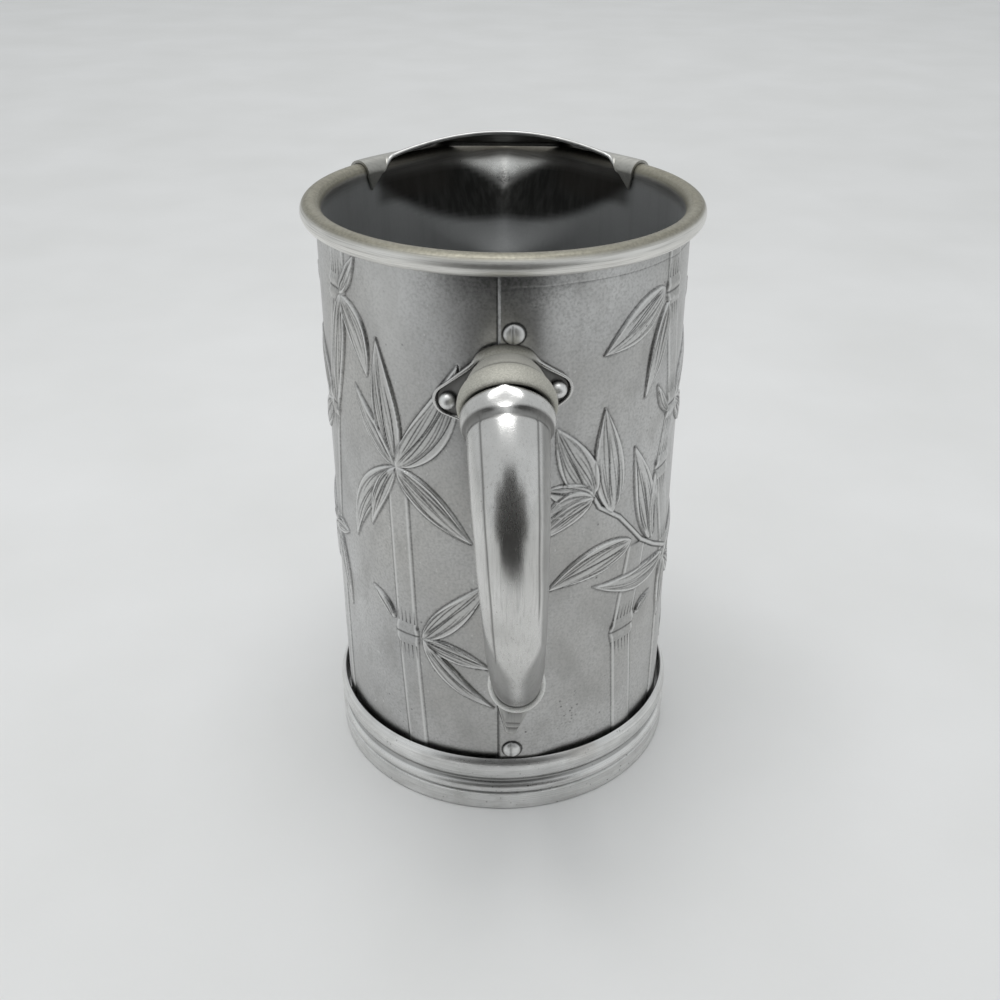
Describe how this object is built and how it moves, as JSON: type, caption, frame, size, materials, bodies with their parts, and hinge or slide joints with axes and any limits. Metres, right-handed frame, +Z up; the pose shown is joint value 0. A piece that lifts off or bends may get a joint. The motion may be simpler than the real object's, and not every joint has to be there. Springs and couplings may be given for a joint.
{
  "type": "water pitcher",
  "caption": "Straight-sided aluminium water pitcher with a relief-decorated jacket, rolled rim, V spout, clipped ice guard, turned foot ring and a riveted hollow side handle.",
  "frame": {"origin": "on the table plane under the middle of the whole, between the spout's tip and the handle's back; the body's axis stands 13.0 mm from it towards the spout", "axes": "+Z up along the body's axis, +Y towards the spout, -Y towards the handle"},
  "size_m": [0.1348, 0.201, 0.2216],
  "materials": {
    "spun": "spun and worn, dull inside",
    "embossed": "satin with dark patina in the cut lines",
    "satin": "turned satin",
    "guard": "satin sheet",
    "polished": "polished by use",
    "rivet": "bright"
  },
  "bodies": {
    "root": {"vessel": "spun", "jacket": "embossed", "foot_ring": "satin", "ice_guard": "guard", "handle_upper_socket": "polished", "handle_grip": "polished", "handle_lower_socket": "polished", "ear_rivet_left": "rivet", "ear_rivet_right": "rivet", "seam_rivet_top": "rivet", "seam_rivet_bottom": "rivet", "handle_lower_rivet": "rivet"}
  },
  "joints": []
}
